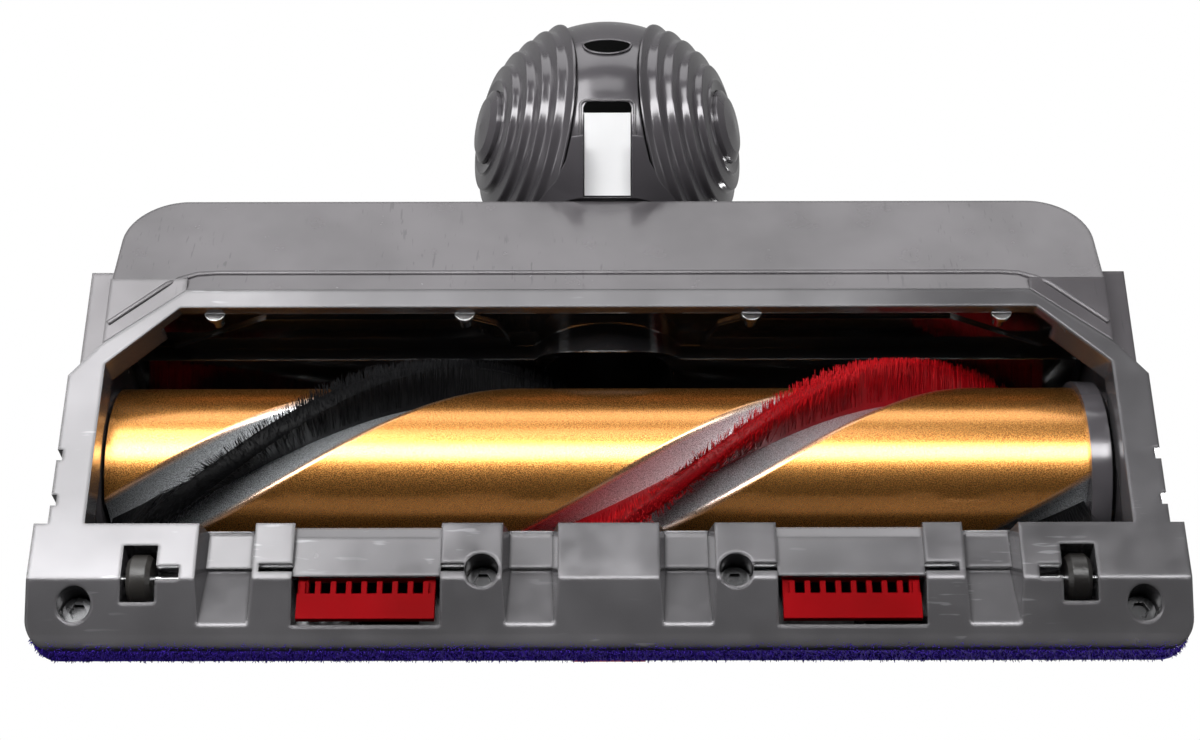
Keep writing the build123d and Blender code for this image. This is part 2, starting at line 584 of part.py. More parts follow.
with BuildPart() as wand_socket:
    with Locations(BALL):
        Sphere(13.0)
    with Locations(Plane(origin=BALL, z_dir=SOCKET_DIR).location):
        Cone(13.0, SOCKET_OUT, 36, align=(Align.CENTER, Align.CENTER, Align.MIN))
    rod(SOCKET_OUT, BALL + SOCKET_DIR * 35.9, SOCKET_DIR, SOCKET_END - 35.9)
    with Locations(Plane(origin=BALL, z_dir=SOCKET_DIR).location):
        Cone(10.6, 16.0, 40, align=(Align.CENTER, Align.CENTER, Align.MIN), mode=Mode.SUBTRACT)
    with Locations(BALL):
        Sphere(10.6, mode=Mode.SUBTRACT)
    rod(16.0, BALL + SOCKET_DIR * 38, SOCKET_DIR, 60, Mode.SUBTRACT)
    rod(SOCKET_R, BALL + SOCKET_DIR * (SOCKET_END - SOCKET_DEPTH), SOCKET_DIR, 40, Mode.SUBTRACT)
    for pitch, rooms in SWEPT_ROOMS:
        for room in rooms:
            add(room, mode=Mode.SUBTRACT)
        rod(7.5, BALL, Vector(0, -1, 0).rotate(Axis.X, pitch), 20, Mode.SUBTRACT)
    for side in (1, -1):
        brick((min(side * 10.6, side * 20), max(side * 10.6, side * 20)), (BALL_Y - 12, BALL_Y + 12),
              (BALL_Z - 12, BALL_Z + 12), Mode.SUBTRACT)
        rod(4.0, BALL + Vector(side * 9.6, 0, 0), (side, 0, 0), 4.4)
save(wand_socket.part, "wand_socket", GREY)

# Power contacts and the wand latch stand in a block on the socket's upper side
SOCKET_UP = Vector(0, -sin(radians(SOCKET_ANGLE)), cos(radians(SOCKET_ANGLE)))
BLOCK_PLACE = Plane(origin=BALL + SOCKET_DIR * (SOCKET_END - 24) + SOCKET_UP * 19.5, x_dir=(1, 0, 0),
                    z_dir=SOCKET_UP).location
with BuildPart() as contact_block:
    with Locations(BLOCK_PLACE):
        Box(15, 24, 6.5, align=(Align.CENTER, Align.CENTER, Align.MIN))
    rod(SOCKET_OUT, BALL + SOCKET_DIR * 40, SOCKET_DIR, 60, Mode.SUBTRACT)
    for x in (-4, 4):
        rod(1.2, BALL + SOCKET_DIR * (SOCKET_END - 22) + SOCKET_UP * 23.4 + Vector(x, 0, 0), SOCKET_DIR, 16,
            Mode.SUBTRACT)
save(contact_block.part, "contact_block", DARK)

for x, name in ((4, "contact_pin_left"), (-4, "contact_pin_right")):
    with BuildPart() as contact_pin:
        rod(1.2, BALL + SOCKET_DIR * (SOCKET_END - 22) + SOCKET_UP * 23.4 + Vector(x, 0, 0), SOCKET_DIR, 15)
    save(contact_pin.part, name, GOLD)
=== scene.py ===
"""Looks, light and camera of the floor brush head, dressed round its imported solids."""

import json
import math
import random

import bpy
from mathutils import Matrix, Vector


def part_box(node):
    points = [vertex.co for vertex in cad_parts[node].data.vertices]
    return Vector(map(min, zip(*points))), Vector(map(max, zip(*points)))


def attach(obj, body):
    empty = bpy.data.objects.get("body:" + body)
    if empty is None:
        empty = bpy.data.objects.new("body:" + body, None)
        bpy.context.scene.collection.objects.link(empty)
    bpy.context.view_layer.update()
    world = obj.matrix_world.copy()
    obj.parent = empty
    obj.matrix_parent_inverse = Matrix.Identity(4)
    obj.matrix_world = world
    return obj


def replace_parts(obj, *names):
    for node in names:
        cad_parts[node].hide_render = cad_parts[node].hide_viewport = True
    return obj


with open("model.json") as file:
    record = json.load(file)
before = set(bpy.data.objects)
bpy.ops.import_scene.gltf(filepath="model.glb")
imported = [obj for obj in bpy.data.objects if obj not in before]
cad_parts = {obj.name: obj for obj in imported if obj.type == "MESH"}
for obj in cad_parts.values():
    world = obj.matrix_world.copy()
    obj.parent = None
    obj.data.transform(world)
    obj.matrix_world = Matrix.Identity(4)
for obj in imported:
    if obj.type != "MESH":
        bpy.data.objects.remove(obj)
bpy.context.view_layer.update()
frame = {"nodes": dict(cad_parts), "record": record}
nodes = frame["nodes"]
random.seed(7)

# Sizes shared with the construction, in metres and radians
BALL_Y, SOCKET_END, SOCKET_ANGLE, SOCKET_OUT = 0.0953, 0.096, math.radians(50), 0.0205
REAR_REACH = BALL_Y + SOCKET_END * math.cos(SOCKET_ANGLE) + SOCKET_OUT * math.sin(SOCKET_ANGLE)
FRONT_REACH = 0.052
ROLL_Y = (FRONT_REACH - REAR_REACH) / 2
ROLL_Z = 0.0295
TUBE_OUT = 0.0209
TUBE_ENDS = (-0.108, 0.113)
ROW_PITCH = 0.212
ROW_START = math.radians(38.2)
TIP_R = 0.028
BALL_R, RIM_H, CAMBER = 0.0345, 0.0187, math.radians(20)
RIM_R = math.sqrt(BALL_R ** 2 - RIM_H ** 2)
BALL_Z = RIM_H * math.sin(CAMBER) + RIM_R * math.cos(CAMBER)
BALL = Vector((0, ROLL_Y + BALL_Y, BALL_Z))
HALF_WIDTH = 0.1245

# Camera: below the sole and in front, turned so that the front bar is at the bottom
YAW = math.radians(-0.07)
TILT = math.radians(61.17)
ROLL = math.radians(-0.1)
LENS_PX = 2100.0
PHOTO_WIDTH_PX = 1200.0
SENSOR_MM = 36.0
DISTANCE = 0.5054
AIM = Vector((0.0019, ROLL_Y + 0.0289, 0.0297))

ahead = Vector((0, math.cos(TILT), math.sin(TILT)))
sideways = Vector((-1, 0, 0))
up = Vector((0, math.sin(TILT), -math.cos(TILT)))
look = ahead * math.cos(YAW) + sideways * math.sin(YAW)
level = sideways * math.cos(YAW) - ahead * math.sin(YAW)
right = level * math.cos(ROLL) + up * math.sin(ROLL)
up = up * math.cos(ROLL) - level * math.sin(ROLL)
camera = bpy.data.objects.new("camera", bpy.data.cameras.new("camera"))
bpy.context.scene.collection.objects.link(camera)
camera.data.sensor_fit = "HORIZONTAL"
camera.data.sensor_width = SENSOR_MM
camera.data.lens = SENSOR_MM * LENS_PX / PHOTO_WIDTH_PX
camera.data.clip_start = 0.01
turn = Matrix((right, up, -look)).transposed()
camera.matrix_world = Matrix.Translation(AIM - look * DISTANCE) @ turn.to_4x4()
bpy.context.scene.camera = camera
bpy.context.scene.view_settings.view_transform = "Standard"


# Materials
def tree(name):
    """A new material with a Principled shader, and its node tree."""
    material = bpy.data.materials.new(name)
    material.use_nodes = True
    graph = material.node_tree
    return material, graph, graph.nodes["Principled BSDF"]


def add(graph, kind, **values):
    """A node with its inputs set by name."""
    node = graph.nodes.new(kind)
    for key, value in values.items():
        key = key.replace("_", " ")
        if key in node.inputs:
            node.inputs[key].default_value = value
        else:
            setattr(node, key.replace(" ", "_"), value)
    return node


def ramp(graph, source, stops):
    """A colour ramp fed by a socket, with (position, grey or colour) stops."""
    node = graph.nodes.new("ShaderNodeValToRGB")
    elements = node.color_ramp.elements
    while len(elements) < len(stops):
        elements.new(0.5)
    for element, (position, value) in zip(elements, stops):
        element.position = position
        element.color = (*value, 1) if isinstance(value, tuple) else (value, value, value, 1)
    graph.links.new(source, node.inputs["Fac"])
    return node.outputs["Color"]


def noise(graph, scale, detail=3.0, stretch=(1, 1, 1)):
    """Noise in object space, scale in features per metre."""
    where = graph.nodes.new("ShaderNodeTexCoord")
    spread = add(graph, "ShaderNodeMapping", Scale=stretch)
    texture = add(graph, "ShaderNodeTexNoise", Scale=scale, Detail=detail)
    graph.links.new(where.outputs["Object"], spread.inputs["Vector"])
    graph.links.new(spread.outputs["Vector"], texture.inputs["Vector"])
    return texture.outputs["Fac"]


def plastic(name, low, high, rough=(0.25, 0.4), bump=0.02, grain=2500.0, edge=0.0004, coat=0.0, metal=0.0,
            worn=0.0, gloss=0.5, scuff=(0.4, 0.4, 0.42), drift=(0.1, 0.6, 1)):
    """Moulded plastic: cloudy colour, uneven gloss, fine grain, rounded edges and pale hairline scuffs."""
    material, graph, shader = tree(name)
    clouds = noise(graph, 35.0)
    colour = ramp(graph, clouds, [(0.35, low), (0.65, high)])
    if worn:
        hairs = ramp(graph, noise(graph, 1100.0, 2.0, drift), [(0.64, 0.0), (0.7, worn)])
        patches = ramp(graph, noise(graph, 30.0, 2.0), [(0.52, 0.0), (0.62, 1.0)])
        where = add(graph, "ShaderNodeMath", operation="MULTIPLY")
        graph.links.new(hairs, where.inputs[0])
        graph.links.new(patches, where.inputs[1])
        scuffed = add(graph, "ShaderNodeMix", data_type="RGBA")
        scuffed.inputs[7].default_value = (*scuff, 1)
        graph.links.new(where.outputs["Value"], scuffed.inputs["Factor"])
        graph.links.new(colour, scuffed.inputs[6])
        colour = scuffed.outputs[2]
    graph.links.new(colour, shader.inputs["Base Color"])
    wear = noise(graph, 120.0, 5.0)
    graph.links.new(ramp(graph, wear, [(0.3, rough[0]), (0.75, rough[1])]), shader.inputs["Roughness"])
    shader.inputs["Metallic"].default_value = metal
    shader.inputs["Specular IOR Level"].default_value = gloss
    shader.inputs["Coat Weight"].default_value = coat
    shader.inputs["Coat Roughness"].default_value = 0.12
    soften = add(graph, "ShaderNodeBevel", Radius=edge)
    soften.samples = 4
    lumps = add(graph, "ShaderNodeBump", Strength=bump, Distance=0.0004)
    graph.links.new(noise(graph, grain, 2.0), lumps.inputs["Height"])
    graph.links.new(soften.outputs["Normal"], lumps.inputs["Normal"])
    graph.links.new(lumps.outputs["Normal"], shader.inputs["Normal"])
    return material


IRON = plastic("iron_grey", (0.07, 0.065, 0.07), (0.1, 0.093, 0.1), (0.16, 0.3), 0.03, 3000, 0.0012,
               coat=0.5, metal=0.3, worn=0.45, scuff=(0.02, 0.019, 0.021), drift=(1, 0.09, 0.4))
SATIN = plastic("satin_grey", (0.1, 0.097, 0.102), (0.135, 0.131, 0.138), (0.14, 0.28), 0.03, 3000, 0.0012,
                coat=0.6, metal=0.5, worn=0.3)
SMOKED = plastic("smoked", (0.005, 0.005, 0.006), (0.011, 0.0105, 0.011), (0.05, 0.12), 0.05, 900, 0.0006,
                 coat=1.0, gloss=0.8)
SHELL = plastic("ball_grey", (0.062, 0.058, 0.064), (0.088, 0.082, 0.09), (0.14, 0.26), 0.03, 3000,
                coat=0.5, metal=0.3)
BLACK = plastic("black", (0.007, 0.007, 0.008), (0.015, 0.015, 0.017), (0.25, 0.45), 0.05)
RED = plastic("red", (0.16, 0.0004, 0.0015), (0.22, 0.0008, 0.003), (0.4, 0.5), 0.03, 3000, 0.0003,
              gloss=0.02)
ROLLER = plastic("roller", (0.01, 0.009, 0.0085), (0.024, 0.022, 0.02), (0.3, 0.42), 0.15, 1500, 0.0003)
WHITE = plastic("label_white", (0.7, 0.7, 0.71), (0.78, 0.78, 0.79), (0.4, 0.5), 0.02, 3000, 0.0001)
STEEL = plastic("steel", (0.55, 0.55, 0.56), (0.7, 0.7, 0.71), (0.15, 0.3), 0.03, 3000, 0.0002, metal=1.0)
SCREW = plastic("screw_black", (0.02, 0.02, 0.021), (0.035, 0.035, 0.037), (0.2, 0.35), 0.03, 3000, 0.0002,
                coat=0.3, metal=0.6)
# Near-black finish for thin patches that stand in as painted shade where the neck has a slot and a recess.
PAINTED_HOLLOW_SHADE = plastic("painted_hollow_shade", (0.001, 0.001, 0.001), (0.002, 0.002, 0.002), (0.7, 0.9), gloss=0.02)
BRASS = plastic("contact_gold", (0.7, 0.5, 0.2), (0.85, 0.62, 0.28), (0.15, 0.3), 0.03, 3000, 0.0002,
                metal=1.0)


def flake_paint():
    """Gold metallic flake on the tube, silver in the valleys, mixed by a vertex value."""
    material, graph, shader = tree("tube_paint")
    valley = graph.nodes.new("ShaderNodeAttribute")
    valley.attribute_name = "valley"
    flakes = noise(graph, 6000.0, 1.0)
    golds = [(0.3, (0.5, 0.175, 0.03)), (0.55, (0.76, 0.33, 0.075)), (0.8, (0.95, 0.53, 0.17))]
    gold = ramp(graph, flakes, golds)
    silver = ramp(graph, flakes, [(0.3, (0.6, 0.63, 0.66)), (0.8, (0.8, 0.82, 0.84))])
    mix = add(graph, "ShaderNodeMix", data_type="RGBA")
    graph.links.new(valley.outputs["Fac"], mix.inputs["Factor"])
    graph.links.new(gold, mix.inputs[6])
    graph.links.new(silver, mix.inputs[7])
    graph.links.new(mix.outputs[2], shader.inputs["Base Color"])
    graph.links.new(ramp(graph, flakes, [(0.3, 0.24), (0.8, 0.33)]), shader.inputs["Roughness"])
    graph.links.new(ramp(graph, valley.outputs["Fac"], [(0.0, 0.95), (1.0, 0.7)]), shader.inputs["Metallic"])
    shader.inputs["Coat Weight"].default_value = 0.6
    shader.inputs["Coat Roughness"].default_value = 0.2
    lumps = add(graph, "ShaderNodeBump", Strength=0.05, Distance=0.0002)
    graph.links.new(flakes, lumps.inputs["Height"])
    graph.links.new(lumps.outputs["Normal"], shader.inputs["Normal"])
    return material


def hair(name, low, high, rough, gloss):
    """Bristle or pile: colour varies at random from fibre to fibre, and painted shade dims it towards the
    root.
    """
    material, graph, shader = tree(name)
    strand_tone_and_painted_shade = graph.nodes.new("ShaderNodeAttribute")
    strand_tone_and_painted_shade.attribute_name = "strand_tone_and_painted_shade"
    for stops, target in (((low, high), "Base Color"), (rough, "Roughness")):
        graded = ramp(graph, strand_tone_and_painted_shade.outputs["Fac"], [(0.0, stops[0]), (1.0, stops[1])])
        graph.links.new(graded, shader.inputs[target])
    shader.inputs["Specular IOR Level"].default_value = gloss
    lumps = add(graph, "ShaderNodeBump", Strength=0.1, Distance=0.0002)
    graph.links.new(noise(graph, 4000.0), lumps.inputs["Height"])
    graph.links.new(lumps.outputs["Normal"], shader.inputs["Normal"])
    return material


PAINT = flake_paint()
NYLON = hair("nylon", (0.14, 0.0, 0.002), (0.52, 0.002, 0.006), (0.45, 0.6), 0.15)
CARBON = hair("carbon", (0.0012, 0.0012, 0.0015), (0.007, 0.007, 0.008), (0.5, 0.65), 0.12)
FELT = hair("felt", (0.02, 0.008, 0.13), (0.06, 0.026, 0.4), (0.85, 1.0), 0.03)

FINISH = {
    "housing": IRON, "sole": SATIN, "liner": SMOKED, "dark": BLACK, "red": RED, "steel": STEEL,
    "motor": STEEL, "roller": ROLLER, "label": WHITE, "contact": BRASS, "tube": PAINT,
    "nylon": NYLON, "carbon": CARBON, "felt": FELT,
}
SHELL_NODES = ("neck_elbow", "wand_socket", "tube_collar", "hub_cap_left", "hub_cap_right",
               "ball_wheel_left", "ball_wheel_right")
for entry in frame["record"]["subparts"]:
    finish = FINISH[entry["material_slot"]]
    if entry["node"].startswith("screw_"):
        finish = SCREW
    elif entry["node"] in SHELL_NODES:
        finish = SHELL
    painted = nodes[entry["node"]]
    painted.data.materials.clear()
    painted.data.materials.append(finish)


# Mesh helpers
def mesh_piece(name, vertices, faces, material, body, smooth=40.0, values=None):
    """A new piece from points and faces, riding on a body, with optional named point values."""
    mesh = bpy.data.meshes.new(name)
    mesh.from_pydata(vertices, [], faces)
    mesh.materials.append(material)
    for key, numbers in (values or {}).items():
        mesh.attributes.new(key, "FLOAT", "POINT").data.foreach_set("value", numbers)
    mesh.polygons.foreach_set("use_smooth", [True] * len(mesh.polygons))
    if smooth < 180:
        mesh.set_sharp_from_angle(angle=math.radians(smooth))
    piece = bpy.data.objects.new(name, mesh)
    bpy.context.scene.collection.objects.link(piece)
    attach(piece, body)
    return piece


def around(x, angle, radius):
    """A point by its place along the brush, its angle and its distance from the axis."""
    return (x, ROLL_Y + radius * math.cos(angle), ROLL_Z + radius * math.sin(angle))


def row_angle(x, row):
    """Angle of a row's centre line at a place along the brush."""
    return ROW_START + math.pi * row - 2 * math.pi * (x - TUBE_ENDS[0]) / ROW_PITCH


# Brush tube with its two helical valleys
VALLEY_OUT, VALLEY_R = 0.045, 0.028
VALLEY_EDGE, VALLEY_FADE = 0.0004, 0.0012
SEGMENTS, STATIONS = 120, 150
points, valley_values, quads = [], [], []
for station in range(STATIONS + 1):
    x = TUBE_ENDS[0] + (TUBE_ENDS[1] - TUBE_ENDS[0]) * station / STATIONS
    for segment in range(SEGMENTS):
        offset = 2 * math.pi * segment / SEGMENTS
        bend = (offset + math.pi / 2) % math.pi - math.pi / 2
        radius = TUBE_OUT
        depth = 0.0
        if abs(VALLEY_OUT * math.sin(bend)) < VALLEY_R:
            across = VALLEY_OUT * math.sin(bend)
            valley = VALLEY_OUT * math.cos(bend) - math.sqrt(VALLEY_R ** 2 - across ** 2)
            radius = min(TUBE_OUT, valley)
            depth = min(1.0, max(0.0, (TUBE_OUT + VALLEY_EDGE - valley) / VALLEY_FADE))
        points.append(around(x, row_angle(x, 0) + offset, radius))
        valley_values.append(depth)
for station in range(STATIONS):
    for segment in range(SEGMENTS):
        a = station * SEGMENTS + segment
        b = station * SEGMENTS + (segment + 1) % SEGMENTS
        quads.append((a, b, b + SEGMENTS, a + SEGMENTS))
tube = mesh_piece("tube_skin", points, quads, PAINT, "brush", 60.0, {"valley": valley_values})
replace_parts(tube, "brush_tube")


THIRD_TURN = 2.0944


def fibres(name, roots, material, body, thickness, bow=0.0):
    """Strands as three-sided tapered prisms: roots are (start, tip, shade)."""
    vertices, faces, shades = [], [], []
    for start, tip, shade in roots:
        along = (tip - start).normalized()
        across = along.orthogonal().normalized()
        across.rotate(Matrix.Rotation(random.uniform(0, 6.28), 3, along))
        third = along.cross(across)
        middle = (start + tip) / 2 + across * bow * random.uniform(-1, 1)
        base = len(vertices)
        # Painted shade: each fibre's colour value is dimmed to 0.15 at the root and 0.7 at the middle, full
        # at the tip.
        for centre, size, light in ((start, 1.0, 0.15), (middle, 0.95, 0.7), (tip, 0.55, 1.0)):
            for k in range(3):
                angle = THIRD_TURN * k
                spot = centre + (across * math.cos(angle) + third * math.sin(angle)) * thickness * size
                vertices.append(tuple(spot))
                shades.append(shade * light)
        for ring in (0, 3):
            for k in range(3):
                a, b = base + ring + k, base + ring + (k + 1) % 3
                faces.append((a, b, b + 3, a + 3))
        faces.append((base + 6, base + 7, base + 8))
    return mesh_piece(name, vertices, faces, material, body, 180.0, {"strand_tone_and_painted_shade": shades})


# The row's core strip is coloured near the dark end of its ramp, as painted shade of the packed fibres.
CORE_ROOT, CORE_EDGE, CORE_STATIONS, CORE_PAINTED_SHADE = 0.0171, 0.0006, 160, 0.1
STRAND_ROOT, STRAND_SEAT, LENGTH_SPREAD, STRAND_BOW = 0.0185, 0.019, 0.00035, 0.0002


def row_core(name, row, half, outer, material):
    """The dense heart of a bristle row, a twisted strip rising from the valley, coloured dark as painted
    shade of the packed fibres.
    """
    vertices, faces, shades = [], [], []
    profile = [(-half, CORE_ROOT), (-half, outer - CORE_EDGE), (-half * 0.6, outer), (half * 0.6, outer),
               (half, outer - CORE_EDGE), (half, CORE_ROOT)]
    for station in range(CORE_STATIONS + 1):
        x = TUBE_ENDS[0] + 0.0006 + (TUBE_ENDS[1] - TUBE_ENDS[0] - 0.0012) * station / CORE_STATIONS
        angle = row_angle(x, row)
        for across, radius in profile:
            vertices.append(around(x, angle + across / radius, radius))
            shades.append(CORE_PAINTED_SHADE)
    count = len(profile)
    for station in range(CORE_STATIONS):
        for k in range(count - 1):
            a = station * count + k
            faces.append((a, a + 1, a + 1 + count, a + count))
    faces.append(tuple(range(count)))
    faces.append(tuple(CORE_STATIONS * count + k for k in reversed(range(count))))
    return mesh_piece(name, vertices, faces, material, "brush", 50.0, {"strand_tone_and_painted_shade": shades})


def row_strands(name, row, half, count, material, reach, scatter, thickness):
    """Strands of one row, rooted across the strip's width and leaning a little each way."""
    roots = []
    for index in range(count):
        share = (index + random.random()) / count
        x = TUBE_ENDS[0] + 0.0008 + (TUBE_ENDS[1] - TUBE_ENDS[0] - 0.0016) * share
        angle = row_angle(x, row)
        across = random.uniform(-half, half)
        lean = across / half * scatter + random.gauss(0, scatter * 0.5)
        start = Vector(around(x, angle + across / STRAND_SEAT, STRAND_ROOT))
        length = min(reach + random.gauss(0, LENGTH_SPREAD), TIP_R + 0.0001)
        drifted = x + random.gauss(0, scatter * 0.02)
        tip = Vector(around(drifted, angle + (across * 1.1) / length + lean, length))
        roots.append((start, tip, random.uniform(0.35, 1.0)))
    return fibres(name, roots, material, "brush", thickness, STRAND_BOW)


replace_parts(row_core("nylon_core", 0, 0.0021, 0.0268, NYLON), "nylon_row")
row_strands("nylon_strands", 0, 0.0024, 9000, NYLON, 0.0277, 0.03, 0.00011)
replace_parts(row_core("carbon_core", 1, 0.0027, 0.0262, CARBON), "carbon_row")
row_strands("carbon_strands", 1, 0.0032, 9000, CARBON, 0.0276, 0.03, 0.0001)


# Ball wheels: domes of five rounded rings
TURN_STEPS = 96


def spin_points(profile, axis, across):
    """Points and faces of a profile of (radius, height) turned about a wheel's axis."""
    third = axis.cross(across)
    vertices, faces = [], []
    for index in range(TURN_STEPS):
        angle = 2 * math.pi * index / TURN_STEPS
        outward = across * math.cos(angle) + third * math.sin(angle)
        for radius, height in profile:
            vertices.append(tuple(BALL + outward * radius + axis * height))
    size = len(profile)
    for index in range(TURN_STEPS):
        nxt = (index + 1) % TURN_STEPS
        for k in range(size - 1):
            faces.append((index * size + k, index * size + k + 1, nxt * size + k + 1, nxt * size + k))
    return vertices, faces


RINGS = [(RIM_R, RIM_H), (0.0266, 0.022), (0.0236, 0.025), (0.0202, 0.0278), (0.0162, 0.0302),
         (0.012, 0.0316)]
LIP, LIP_STEPS, SINK, HUB_R = 0.0006, 4, 0.25, 0.0094
profile = [(RIM_R - 0.0026, RIM_H + 0.0012), (RIM_R - 0.0018, RIM_H), (RIM_R - 0.0004, RIM_H)]
for (r0, t0), (r1, t1) in zip(RINGS, RINGS[1:]):
    for step in range(LIP_STEPS + 1):
        angle = math.radians(90) * step / LIP_STEPS
        profile.append((r0 - LIP * (1 - math.cos(angle)), t0 + LIP * math.sin(angle)))
    floor_t = t0 + LIP + SINK * (t1 - t0 - LIP)
    profile.append((r1 + 0.0007, floor_t))
    profile.append((r1 + 0.0002, floor_t + 0.0002))
    profile.append((r1, floor_t + 0.0007))
profile.append((HUB_R, 0.0314))
profile.append((HUB_R, 0.0296))
for name, sign in (("left", 1), ("right", -1)):
    axis = Vector((sign * math.cos(CAMBER), 0, -math.sin(CAMBER)))
    across = Vector((sign * math.sin(CAMBER), 0, math.cos(CAMBER)))
    vertices, faces = spin_points(profile, axis, across)
    wheel = mesh_piece(f"wheel_dome_{name}", vertices, faces, SHELL, f"wheel_{name}", 50.0)
    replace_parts(wheel, f"ball_wheel_{name}")


BEAD_SIDES = 8


def bead(name, path, radius, material, body):
    """A thin round trim along a path."""
    vertices, faces = [], []
    for index, here in enumerate(path):
        before, after = path[max(0, index - 1)], path[min(len(path) - 1, index + 1)]
        along = (after - before).normalized()
        outward = Vector((0, 0, -1))
        across = along.cross(outward).normalized()
        outward = across.cross(along)
        for k in range(BEAD_SIDES):
            angle = 2 * math.pi * k / BEAD_SIDES
            vertices.append(tuple(here + (across * math.cos(angle) + outward * math.sin(angle)) * radius))
    for index in range(len(path) - 1):
        for k in range(BEAD_SIDES):
            a, b = index * BEAD_SIDES + k, index * BEAD_SIDES + (k + 1) % BEAD_SIDES
            faces.append((a, b, b + BEAD_SIDES, a + BEAD_SIDES))
    faces.append(tuple(reversed(range(BEAD_SIDES))))
    faces.append(tuple((len(path) - 1) * BEAD_SIDES + k for k in range(BEAD_SIDES)))
    return mesh_piece(name, vertices, faces, material, body, 60.0)


def mirrored(half):
    """A path from the left to the middle, carried on to the right."""
    return half + [Vector((-v.x, v.y, v.z)) for v in reversed(half)]


def on_sole(line):
    """Points given in millimetres from the brush axis, in the frame."""
    return [Vector((x / 1000, ROLL_Y + y / 1000, z / 1000)) for x, y, z in line]


# Rim line across the rear skirt, and a black bead painted as the shade in the seam's groove, both following
# the bezel's cut corners
RIM_LINE = [(114.3, 26.0, 2.1), (108.0, 31.2, 2.1), (101.8, 36.4, 2.1), (99.0, 38.5, 3.2), (95.5, 40.2, 4.0),
            (91.0, 40.6, 4.15)]
SEAM_LINE = [(114.6, 20.6, 1.8), (97.1, 34.4, 1.8)]
bead("skirt_rim", mirrored(on_sole(RIM_LINE)), 0.0007, IRON, "head")
# Painted shade: a thin black bead where the seam's groove lies in shade.
bead("skirt_seam_painted_shade", mirrored(on_sole(SEAM_LINE)), 0.00035, BLACK, "head")


# Neck: near-black patches as painted shade of the slot near the top and of the recess round the blank label,
# and the raised rim round the label
def on_ball(across, along, radius):
    """A point on the underside of the ball, across it in X and along it in degrees from straight down."""
    tilt = math.radians(along)
    drop = math.sqrt(max(0.0, radius ** 2 - across ** 2))
    return BALL + Vector((across, drop * math.sin(tilt), -drop * math.cos(tilt)))


PATCH_DEPTH = 0.0005


def ball_patch(name, columns, lip, material):
    """A closed thin patch on the ball's underside: columns are (across, low, high) in metres and degrees."""
    points, faces = [], []
    for across, low, high in columns:
        for along, radius in ((low, lip), (high, lip), (high, lip - PATCH_DEPTH), (low, lip - PATCH_DEPTH)):
            points.append(tuple(on_ball(across, along, radius)))
    for a in range(0, 4 * (len(columns) - 1), 4):
        for k in range(4):
            b = (k + 1) % 4
            faces.append((a + k, a + b, a + 4 + b, a + 4 + k))
    faces.append((3, 2, 1, 0))
    faces.append(tuple(len(points) - 4 + k for k in range(4)))
    return mesh_piece(name, points, faces, material, "neck")


COLUMNS = 24
SLOT_MIDDLE, SLOT_BELOW, SLOT_ABOVE = 18.6, 7.5, 2.4
SLOT_HALF, SLOT_LIP = 0.006, 0.0333
columns = []
for column in range(COLUMNS + 1):
    across = SLOT_HALF * (2 * column / COLUMNS - 1)
    share = math.sqrt(max(0.0004, 1 - (across / SLOT_HALF) ** 2))
    columns.append((across, SLOT_MIDDLE - SLOT_BELOW * share, SLOT_MIDDLE + SLOT_ABOVE * share))
# Painted shade: a near-black patch lying on the ball where the slot's hollow is.
ball_patch("neck_slot_painted_shade", columns, SLOT_LIP, PAINTED_HOLLOW_SHADE)
rim = [on_ball(across, low, SLOT_LIP) for across, low, high in columns]
rim += [on_ball(across, high, SLOT_LIP) for across, low, high in reversed(columns)]
bead("neck_slot_rim", rim, 0.0003, SHELL, "neck")

LABEL_HALF, CORNER_R, CORNER_RISE = 0.0059, 0.0015, 2.6
LABEL_TOP, RECESS_TOP = -18.0, -13.2
columns = []
for column in range(COLUMNS + 1):
    across = LABEL_HALF * (2 * column / COLUMNS - 1)
    corner = max(0.0, abs(across) - (LABEL_HALF - CORNER_R)) / CORNER_R
    columns.append((across, LABEL_TOP, RECESS_TOP - CORNER_RISE * (1 - math.sqrt(max(0.0, 1 - corner ** 2)))))
# Painted shade: a near-black band on the ball above the label where the recess lies in shade.
ball_patch("label_recess_painted_shade", columns, 0.03308, PAINTED_HOLLOW_SHADE)
RIM_HALF, RIM_CORNER, RIM_LIFT = 0.0066, -15.2, 0.0331
path = [(RIM_HALF, along) for along in (-36.0, -32.0, -28.0, -24.0, -20.0, -16.0)]
for turn in range(0, 91, 15):
    bend = math.radians(turn)
    path.append((RIM_HALF - CORNER_R * (1 - math.cos(bend)), RIM_CORNER + CORNER_RISE * math.sin(bend)))
half = [on_ball(across, along, RIM_LIFT) for across, along in path]
bead("label_rim", mirrored(half), 0.0004, IRON, "neck")


# Felt strip: soft block with a short pile
felt_lo, felt_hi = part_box("felt_strip")
PILE_COUNT, PILE_END, FELT_CORNER = 11000, 0.1235, 0.0065
pile = []
for index in range(PILE_COUNT):
    x = random.uniform(-PILE_END, PILE_END)
    front = felt_lo[1]
    past = abs(x) - HALF_WIDTH + FELT_CORNER
    if past > 0:
        front = felt_lo[1] + FELT_CORNER - math.sqrt(max(0.0, FELT_CORNER ** 2 - past ** 2))
    if random.random() < 0.7:
        start = Vector((x, front + 0.0002, random.uniform(felt_lo[2] + 0.0001, felt_hi[2] - 0.0001)))
        out = Vector((random.gauss(0, 0.45), -1, random.gauss(-0.25, 0.45))).normalized()
    else:
        start = Vector((x, front + random.uniform(0.0002, 0.0032), felt_lo[2] + 0.0001))
        out = Vector((random.gauss(0, 0.45), random.gauss(-0.4, 0.45), -1)).normalized()
    pile.append((start, start + out * random.uniform(0.0004, 0.0009), random.uniform(0.2, 1.0)))
fibres("felt_pile", pile, FELT, "head", 0.00011)


